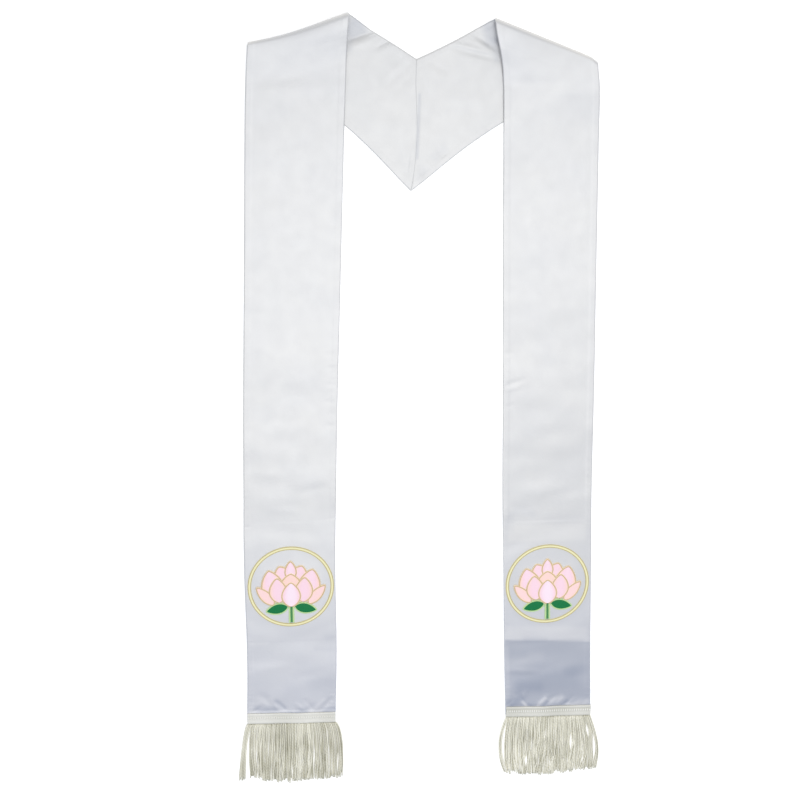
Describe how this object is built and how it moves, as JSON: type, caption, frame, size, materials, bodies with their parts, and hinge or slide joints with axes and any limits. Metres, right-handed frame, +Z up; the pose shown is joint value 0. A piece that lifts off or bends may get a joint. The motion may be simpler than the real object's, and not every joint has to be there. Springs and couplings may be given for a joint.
{
  "type": "clerical stole",
  "caption": "White satin stole laid flat, turned over at the shoulders, with a mitred back, fringed hems and an embroidered lotus in a ring near each hem.",
  "frame": {"origin": "on the floor under the middle of the laid stole's bounding box", "axes": "+Y towards the neck, along the bands; +X to the right as the picture shows it; +Z up from the floor"},
  "size_m": [0.5312, 1.0878, 0.0155],
  "materials": {
    "satin": "smooth white satin with a soft sheen",
    "satin_lining": "plain white satin lining",
    "fringe_ivory": "twisted ivory cord with a woven header",
    "gold_thread": "pale gold embroidery thread",
    "petal_thread": "pink satin stitch",
    "leaf_thread": "green satin stitch"
  },
  "bodies": {
    "root": {"face_left": "satin", "face_right": "satin", "lining_left": "satin_lining", "lining_right": "satin_lining", "fringe_left": "fringe_ivory", "fringe_right": "fringe_ivory", "ring_left": "gold_thread", "ring_right": "gold_thread", "lotus_left": "petal_thread", "lotus_right": "petal_thread", "leaves_left": "leaf_thread", "leaves_right": "leaf_thread"}
  },
  "joints": []
}
